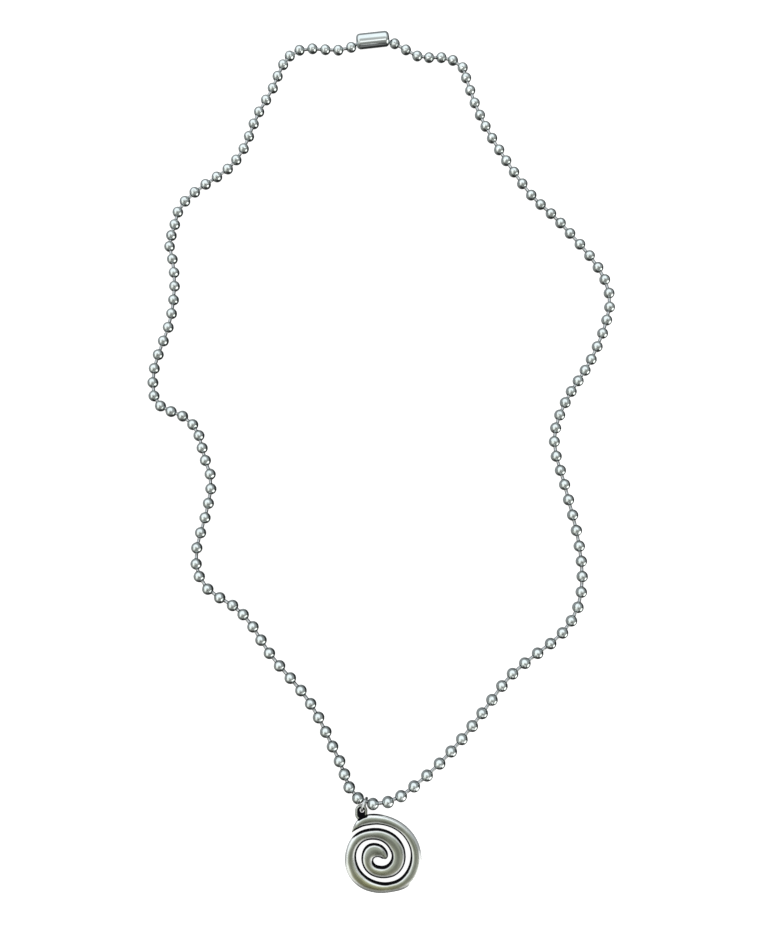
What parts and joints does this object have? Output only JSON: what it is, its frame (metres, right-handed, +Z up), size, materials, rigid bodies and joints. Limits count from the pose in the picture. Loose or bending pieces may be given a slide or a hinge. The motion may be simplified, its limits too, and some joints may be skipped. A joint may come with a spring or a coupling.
{
  "type": "ball chain necklace with a spiral pendant",
  "caption": "Metal ball chain necklace lying in a loop, with a barrel connector and a cast spiral pendant on a small jump ring.",
  "frame": {"origin": "centre of the lying necklace's footprint, on the surface that it lies on", "axes": "+Y from the pendant toward the connector, +X to the right with the pendant nearest the viewer, +Z up from the surface"},
  "size_m": [0.1362, 0.2517, 0.0047],
  "materials": {
    "chain_metal": "polished",
    "connector_metal": "polished",
    "ring_metal": "polished",
    "pendant_metal": "satin"
  },
  "bodies": {
    "root": {"chain": "chain_metal", "connector": "connector_metal", "jump_ring": "ring_metal", "spiral_pendant": "pendant_metal"}
  },
  "joints": []
}
